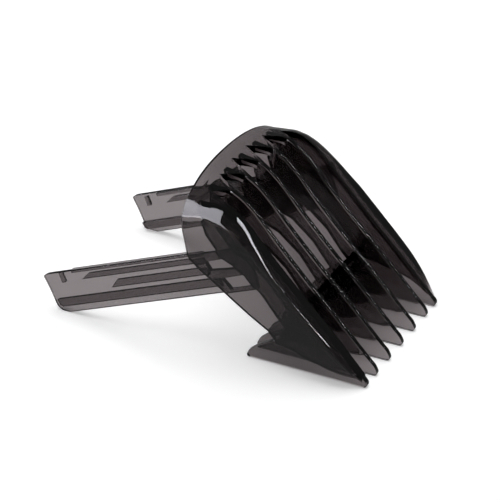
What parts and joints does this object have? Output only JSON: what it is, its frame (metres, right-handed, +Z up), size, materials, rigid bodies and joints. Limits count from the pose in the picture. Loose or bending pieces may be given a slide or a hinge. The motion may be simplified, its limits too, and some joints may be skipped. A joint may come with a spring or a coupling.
{
  "type": "clipper guide comb",
  "caption": "Slide-on guide comb for a hair clipper: slotted domed crown over long pointed teeth, side cheeks and two ribbed arms that slide along the clipper body.",
  "frame": {"origin": "centre of the comb's footprint, on the surface it stands on", "axes": "+X across the comb, -Y towards the tooth tips, +Y along the arms to their free ends, +Z up"},
  "size_m": [0.054, 0.0946, 0.0463],
  "materials": {
    "smoked_polycarbonate": "polished, see-through smoked grey moulding"
  },
  "bodies": {
    "root": {"crown": "smoked_polycarbonate", "shoulder_left": "smoked_polycarbonate", "shoulder_right": "smoked_polycarbonate", "cheek_left": "smoked_polycarbonate", "cheek_right": "smoked_polycarbonate", "ridge_cap_left": "smoked_polycarbonate", "ridge_cap_right": "smoked_polycarbonate", "outer_tooth_left": "smoked_polycarbonate", "outer_tooth_right": "smoked_polycarbonate", "tooth_1": "smoked_polycarbonate", "tooth_2": "smoked_polycarbonate", "tooth_3": "smoked_polycarbonate", "tooth_4": "smoked_polycarbonate", "tooth_5": "smoked_polycarbonate", "web_1": "smoked_polycarbonate", "web_2": "smoked_polycarbonate", "web_3": "smoked_polycarbonate", "web_4": "smoked_polycarbonate", "outer_web_left": "smoked_polycarbonate", "outer_web_right": "smoked_polycarbonate", "arm_left": "smoked_polycarbonate", "arm_right": "smoked_polycarbonate", "guide_rail_left": "smoked_polycarbonate", "guide_rail_right": "smoked_polycarbonate", "arm_lip_left": "smoked_polycarbonate", "arm_lip_right": "smoked_polycarbonate", "upper_rib_left": "smoked_polycarbonate", "upper_rib_right": "smoked_polycarbonate", "lower_rib_left": "smoked_polycarbonate", "lower_rib_right": "smoked_polycarbonate", "detent_left": "smoked_polycarbonate", "detent_right": "smoked_polycarbonate"}
  },
  "joints": []
}
